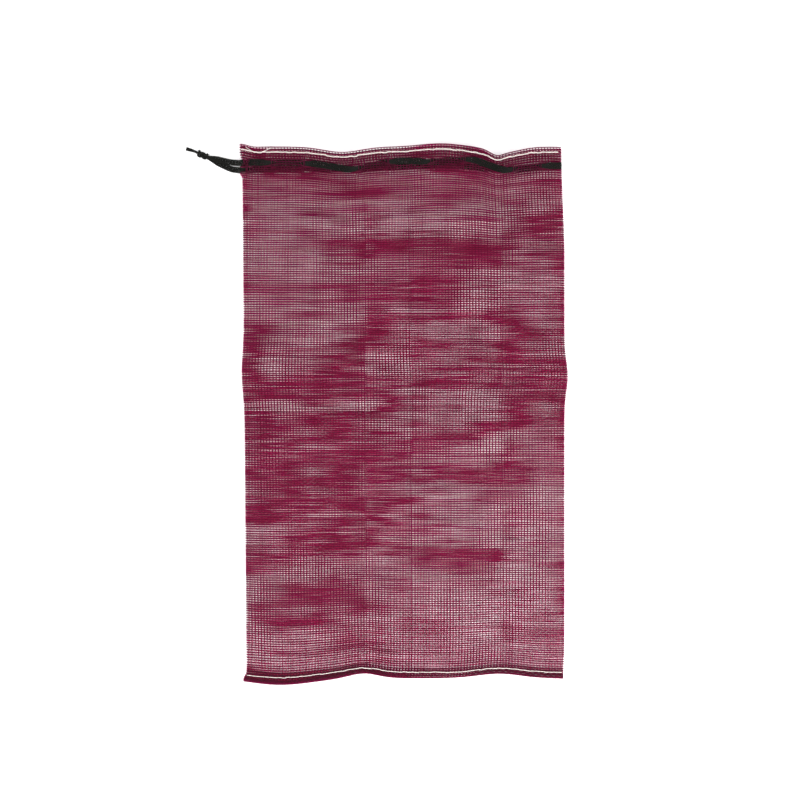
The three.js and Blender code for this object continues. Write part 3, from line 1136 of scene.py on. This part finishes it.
def twisted_rope(line, yarns, ring, thick, turn_length):
    """Yarns wound round a line."""
    run = run_lengths(line)
    tangents = unit(np.gradient(line, axis=0))
    up = np.broadcast_to((0.0, 0.0, 1.0), line.shape)
    up = unit(up - np.sum(up * tangents, axis=-1, keepdims=True) * tangents)
    side = np.cross(tangents, up)
    made = []
    for yarn in range(yarns):
        turn = 2.0 * math.pi * (run / turn_length + yarn / yarns)
        made.append(line + ring[0] * np.cos(turn)[:, None] * side + ring[1] * np.sin(turn)[:, None] * up)
    return cord_sections(np.stack(made), (0.0, 0.0, 1.0), thick, thick, YARN_CORNERS)


class ONIONBAG_OT_drawstring(Operator):
    """Thread the knitted drawstring through the mouth and tie its two ends"""

    bl_idname = "onion_bag.drawstring"
    bl_label = "Drawstring"

    def execute(self, context):
        width = sizes().drawstring
        colour = colours()
        light, shade = colour.drawstring, colour.drawstring_shade
        material = tape_material("drawstring_knit", light, shade, **KNIT_LOOK)
        rope = [(twisted_rope(knot_line(), **KNOT_ROPE), False)]
        knot = strip_piece("drawstring_knot", rope, material, KNOT_TINT_SEED, True)
        settle(knot, "drawstring", "drawstring")

        def loop_width(line):
            """The tape gathers where it passes through the net."""
            spots = np.array((*FRONT_SLOTS, *BACK_SLOTS, EXIT_SLOT))
            gaps = np.abs(line[:, None, 0] - spots[None, :, 0])
            upper = np.arange(len(line)) < np.argmax(line[:, 0])
            on_front = np.arange(len(spots)) < len(FRONT_SLOTS)
            gaps = np.where(upper[:, None] == on_front[None, :], gaps, 1.0)
            free = ease(gaps.min(axis=1), *SLOT_EASE)
            return width * (1.0 - SLOT_SQUEEZE + SLOT_SQUEEZE * free)

        def upper_width(line):
            run = run_lengths(line)
            bunch = ease(run, *UPPER_BUNCH) - UPPER_FLARE * ease(run, *UPPER_END)
            return TAIL_SHARE * width * (1.0 - UPPER_SQUEEZE * bunch)

        def lower_width(line):
            bunch = ease(run_lengths(line), *LOWER_BUNCH)
            return TAIL_SHARE * width * (1.0 - LOWER_SQUEEZE * bunch)

        _, bundles = knitted_tape(loop_points(), loop_width, LOOP_SEEDS[0])
        loop = strip_piece("drawstring_loop", bundles, material, LOOP_SEEDS[1], True)
        settle(loop, "drawstring", "drawstring")
        for name, points, taper, far_end, others in (
            ("drawstring_upper_tail", UPPER_TAIL, upper_width, "bare", [knot]),
            ("drawstring_lower_tail", LOWER_TAIL, lower_width, "knot", []),
        ):
            line, bundles = knitted_tape(points, taper, TAIL_SEEDS[0])
            tail = strip_piece(name, bundles, material, TAIL_SEEDS[1], True)
            settle(tail, "drawstring", "drawstring")
        return {"FINISHED"}


# Stage

FLOOR_HALF = 4.0
FLOOR_ROUGHNESS = 0.9
FLOOR_SHINE = 0.1
FLOOR_GLOW = 0.12
SKY_STRENGTH = 0.60
# Softboxes, all turned to the bag: place, size and power
SOFTBOXES = (
    (0.75, -1.35, 1.15, 1.0, 48.0),
    (-1.5, 1.3, 2.2, 1.6, 41.0),
    (-1.9, -0.8, 2.0, 1.6, 7.0),
    (1.9, -0.7, 2.0, 1.6, 14.0),
)


def area_light(name, place, size, power):
    light = bpy.data.lights.new(name, "AREA")
    light.shape = "DISK"
    light.size = size
    light.energy = power
    lamp = bpy.data.objects.new(name, light)
    lamp.location = place
    bpy.context.collection.objects.link(lamp)
    return lamp


class ONIONBAG_OT_stage(Operator):
    """Set up the camera, the pale floor and the soft light"""

    bl_idname = "onion_bag.stage"
    bl_label = "Stage"

    def execute(self, context):
        scene = context.scene
        camera = bpy.data.cameras.new("camera")
        camera.sensor_width = SENSOR
        camera.lens = SENSOR * (VIEW_HEIGHT - VIEW_LEVEL) / VIEW_WIDTH
        view = bpy.data.objects.new("camera", camera)
        view.location = (*VIEW_MIDDLE, VIEW_HEIGHT)
        context.collection.objects.link(view)
        scene.camera = view
        scene.view_settings.view_transform = "Standard"

        shape = bmesh.new()
        bmesh.ops.create_grid(shape, x_segments=1, y_segments=1, size=FLOOR_HALF)
        mesh = bpy.data.meshes.new("floor")
        shape.to_mesh(mesh)
        shape.free()
        floor = bpy.data.objects.new("floor", mesh)
        context.collection.objects.link(floor)
        material = bpy.data.materials.new("pale_floor")
        material.use_nodes = True
        shader = material.node_tree.nodes["Principled BSDF"]
        shader.inputs["Base Color"].default_value = (*colours().floor, 1.0)
        shader.inputs["Roughness"].default_value = FLOOR_ROUGHNESS
        shader.inputs["Specular IOR Level"].default_value = FLOOR_SHINE
        shader.inputs["Emission Color"].default_value = (1.0, 1.0, 1.0, 1.0)
        shader.inputs["Emission Strength"].default_value = FLOOR_GLOW
        mesh.materials.append(material)

        for number, (x, y, z, size, power) in enumerate(SOFTBOXES):
            lamp = area_light(f"softbox_{number}", (x, y, z), size, power)
            lamp.rotation_euler = Vector((x, y, z)).to_track_quat("Z", "Y").to_euler()
        world = bpy.data.worlds.new("soft_sky")
        world.use_nodes = True
        sky = world.node_tree.nodes["Background"]
        sky.inputs["Color"].default_value = (1.0, 1.0, 1.0, 1.0)
        sky.inputs["Strength"].default_value = SKY_STRENGTH
        scene.world = world
        return {"FINISHED"}


class ONIONBAG_PT_panel(Panel):
    """Sizes, colours and steps of the bag"""

    bl_idname = "ONIONBAG_PT_panel"
    bl_label = "Onion Bag"
    bl_space_type = "VIEW_3D"
    bl_region_type = "UI"
    bl_category = "Onion Bag"

    def draw(self, context):
        for group in (context.scene.onion_bag_sizes, context.scene.onion_bag_colours):
            column = self.layout.column(align=True)
            for key in group.__annotations__:
                column.prop(group, key)
        column = self.layout.column(align=True)
        for step in STEPS:
            column.operator(step.bl_idname)


STEPS = (ONIONBAG_OT_stage, ONIONBAG_OT_drawstring, ONIONBAG_OT_net, ONIONBAG_OT_stitching)
CLASSES = (OnionBagSizes, OnionBagColours, *STEPS, ONIONBAG_PT_panel)


def register():
    for item in CLASSES:
        bpy.utils.register_class(item)
    bpy.types.Scene.onion_bag_sizes = PointerProperty(type=OnionBagSizes)
    bpy.types.Scene.onion_bag_colours = PointerProperty(type=OnionBagColours)


def unregister():
    del bpy.types.Scene.onion_bag_colours
    del bpy.types.Scene.onion_bag_sizes
    for item in reversed(CLASSES):
        bpy.utils.unregister_class(item)


def main():
    register()
    bpy.ops.onion_bag.stage()
    bpy.ops.onion_bag.drawstring()
    bpy.ops.onion_bag.net()
    bpy.ops.onion_bag.stitching()


if __name__ == "__main__":
    main()
